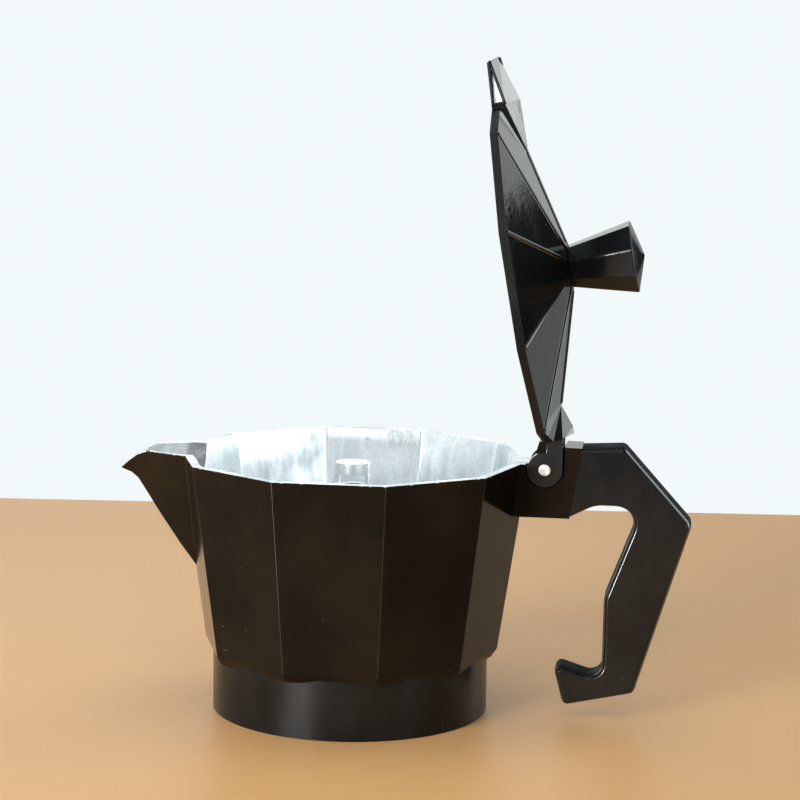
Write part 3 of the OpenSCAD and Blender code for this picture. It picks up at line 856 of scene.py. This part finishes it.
# %% Small parts
SMALL = [  # node, piece, body, slot, finish, radius in millimetres
    ("column_cap", "column_cap_cast", JUG, "plain_aluminium", turned_aluminium, 0.3),
    ("gasket", "gasket_ring", JUG, "gasket_rubber", gasket_rubber, 0.4),
    ("hinge_pin", "hinge_pin_turned", JUG, "pin_steel", pin_steel, 0.25),
    ("knob_screw", "knob_screw_turned", LID, "plated_steel", plated_steel, 0.15),
    ("handle_screw", "handle_screw_turned", JUG, "plated_steel", plated_steel, 0.15),
]
for node, name, body, slot, material, radius in SMALL:
    small_bm = welded(node)
    round_edges(small_bm, sharp_edges(small_bm), radius * MM, 2)
    hand_over(small_bm, name, body, (material,), [node])

KEPT = {
    "column": turned_aluminium,
    "filter_plate": turned_aluminium,
    "knob_insert": turned_brass,
    "knob_washer": plated_steel,
    "handle_washer": plated_steel,
}
for node, material in KEPT.items():
    solid = frame["nodes"][node]
    for held in solid.material_slots:
        held.material = material
    print("solid", node, "takes", material.name)

# %% [markdown]
# ## The table
#
# The pot stands on a plain table top in the warm colour of oiled wood, without its grain. A
# grid of one face is enough, turned a little, because its far edge runs askew behind the pot.
# It lies a hair under the foot of the ring, so that the two never share a plane.

# %% Table
TABLE_HALF = 0.32
TABLE_WIDER = 2.2
TABLE_TURN = math.radians(5.5)
TABLE_GAP = 0.02 * MM
table_bm = bmesh.new()
bmesh.ops.create_grid(table_bm, x_segments=1, y_segments=1, size=TABLE_HALF)
bmesh.ops.scale(table_bm, vec=(TABLE_WIDER, 1, 1), verts=table_bm.verts)
bmesh.ops.rotate(table_bm, matrix=Matrix.Rotation(TABLE_TURN, 3, "Z"), verts=table_bm.verts)
bmesh.ops.translate(table_bm, vec=(0, 0, -TABLE_GAP), verts=table_bm.verts)
table_mesh = bpy.data.meshes.new("table")
table_bm.to_mesh(table_mesh)
table_bm.free()


def table_paint(board, place):
    cloud = board.noise(place, 6.0, detail=3.0)
    return {"Base Color": board.colours(cloud, (0.66, 0.37, 0.145, 1), (0.72, 0.41, 0.17, 1))}


table_mesh.materials.append(finish("table_top", table_paint, Roughness=0.45, IOR=1.3))
table = bpy.data.objects.new("table", table_mesh)
bpy.context.scene.collection.objects.link(table)
print("table", round(2 * TABLE_HALF * TABLE_WIDER, 2), "m by", round(2 * TABLE_HALF, 2), "m")

# %% [markdown]
# ## What the pot reflects
#
# Glossy black shows what is around it and little else, so the room matters as much as the
# enamel. Here it is drawn straight into the world, as bright and dark bands by compass bearing
# and by height: a lit curtain behind, with a dark column in it, a window on the right that
# catches the lid and the knob, a narrow one low beside it, a dim front, a ceiling, and a faint
# glow off the ground in front. The camera sees none of this, only an even pale backdrop.

# %% Bands of light around the room
CURTAIN, WINDOW, SIDE_WINDOW = 1.6, 3.2, 4.0
CEILING, GROUND, GLOOM = 0.7, 0.16, 0.02
BACKDROP = 0.96
BACKDROP_COLOUR = (0.93, 0.985, 0.995, 1)
world = bpy.data.worlds.new("room")
world.use_nodes = True
bpy.context.scene.world = world
room = Board(world.node_tree)
toward = room.add("TexCoord", output="Generated")
across, along, up = (room.part(toward, axis) for axis in "XYZ")
bearing = across.math("ARCTAN2", across, along)  # 0 straight behind, 90 on the right
height = up.math("ARCSINE", up)


def degrees_ramp(angle, low, high):
    return angle.ramp(math.radians(low), math.radians(high))


def between(angle, start, full, fading, end):
    """1 from full to fading, down to 0 at start and end, all in degrees."""
    return degrees_ramp(angle, start, full) * degrees_ramp(angle, end, fading)


behind = between(bearing, -115, -95, 50, 62)
column = between(bearing, 21, 23, 39, 41) * between(height, -5, -4, 6.9, 7.4)
curtain = behind * degrees_ramp(height, 42, 26) * (0.4 + degrees_ramp(height, -1, 3) * 0.6)
curtain = curtain * (1 - degrees_ramp(bearing, -15, 10) * 0.5) * (1 - column)
window = degrees_ramp(bearing, 39.5, 40.8) * degrees_ramp(height, -1, 3)
upper_pane = degrees_ramp(bearing, 30, 33) * degrees_ramp(height, 10, 13)
window = window + upper_pane * (1 - window)
window = window * degrees_ramp(bearing, 80, 74) * degrees_ramp(height, 34, 28)
side_window = between(bearing, 45, 48, 66, 72) * between(height, -8, -5, 6, 9)
front = between(height, 3, 5, 15, 40) * (1 - behind) * (1 - column)
front = front * (0.5 + between(bearing, 112, 120, 142, 150))
ceiling = degrees_ramp(height, 58, 72)
ground = degrees_ramp(height, 2, -4) * (1 - behind)
lit = curtain * CURTAIN + window * WINDOW + side_window * SIDE_WINDOW + front
lit = lit + ceiling * CEILING + ground * GROUND + GLOOM
seen = room.add("LightPath", output="Is Camera Ray")
strength = seen * BACKDROP + (1 - seen) * lit
backdrop = room.add("Background", None, {"Color": BACKDROP_COLOUR, "Strength": strength})
room.add("OutputWorld", None, {"Surface": backdrop})
print("room drawn with", len(world.node_tree.nodes), "nodes")

# %% [markdown]
# ## Lamps
#
# Five soft lamps add what the bands can't: the tall one at the front left lights the ring and
# the creases, the low ones lift the foot of the pot on both sides, the thin strip draws one
# line along the upper edges, and a large one overhead fills the inside of the jug.

# %% Lamps
LAMPS = [  # name, place, aimed at, width and height in metres, watts
    ("front_left", (-0.58, -0.90, 0.48), (0, 0, 0.06), 0.5, 0.8, 7.0),
    ("low_left", (-0.60, -0.90, 0.07), (0, 0, 0.02), 0.45, 0.12, 24.0),
    ("low_right", (0.9, -0.56, 0.10), (0, 0, 0.02), 0.16, 0.18, 1.0),
    ("edge_strip", (0.1, -0.75, 1.0), (0, 0, 0.05), 0.6, 0.05, 1.3),
    ("overhead", (0.0, 0.05, 1.3), (0, 0, 0), 0.9, 0.7, 2.6),
]
for name, spot, target, wide, tall, watts in LAMPS:
    lamp = bpy.data.lights.new(name, "AREA")
    lamp.shape = "RECTANGLE"
    lamp.size, lamp.size_y, lamp.energy = wide, tall, watts
    holder = bpy.data.objects.new(name, lamp)
    holder.location = spot
    aim = Vector(target) - Vector(spot)
    holder.rotation_euler = aim.to_track_quat("-Z", "Y").to_euler()
    bpy.context.scene.collection.objects.link(holder)
    print("lamp", name, watts, "W")

# %% [markdown]
# ## Camera
#
# The camera stands in front of the pot, a little to the right of it and slightly raised. A long
# lens from 0.8 m keeps the tapered jug from flaring. Its place is given by two angles and a
# distance, and it is rolled by one degree, as a camera held by hand is.

# %% Camera
AZIMUTH = math.radians(6.791)
ELEVATION = math.radians(8.772)
ROLL = math.radians(0.972)
DISTANCE = 808.394 * MM
AIM_RIGHT = 14.102 * MM
AIM_UP = 94.999 * MM
LENS = 116.56
level = Vector((math.cos(AZIMUTH), math.sin(AZIMUTH), 0))
forward = Vector((-math.sin(AZIMUTH), math.cos(AZIMUTH), 0))
back = forward * -math.cos(ELEVATION) + Vector((0, 0, math.sin(ELEVATION)))
rise = back.cross(level)
camera_right = level * math.cos(ROLL) + rise * math.sin(ROLL)
camera_up = rise * math.cos(ROLL) - level * math.sin(ROLL)
turned = Matrix((camera_right, camera_up, back)).transposed().to_4x4()
stand = back * DISTANCE + level * AIM_RIGHT + rise * AIM_UP
camera_data = bpy.data.cameras.new("camera")
camera_data.sensor_width = 36.0
camera_data.lens = LENS
camera_data.clip_start = 0.05
camera_data.clip_end = 50.0
camera = bpy.data.objects.new("camera", camera_data)
camera.matrix_world = Matrix.Translation(stand) @ turned
bpy.context.scene.collection.objects.link(camera)
bpy.context.scene.camera = camera
bpy.context.scene.view_settings.view_transform = "Standard"
print("camera", round(stand.length, 3), "m from the foot of the pot")
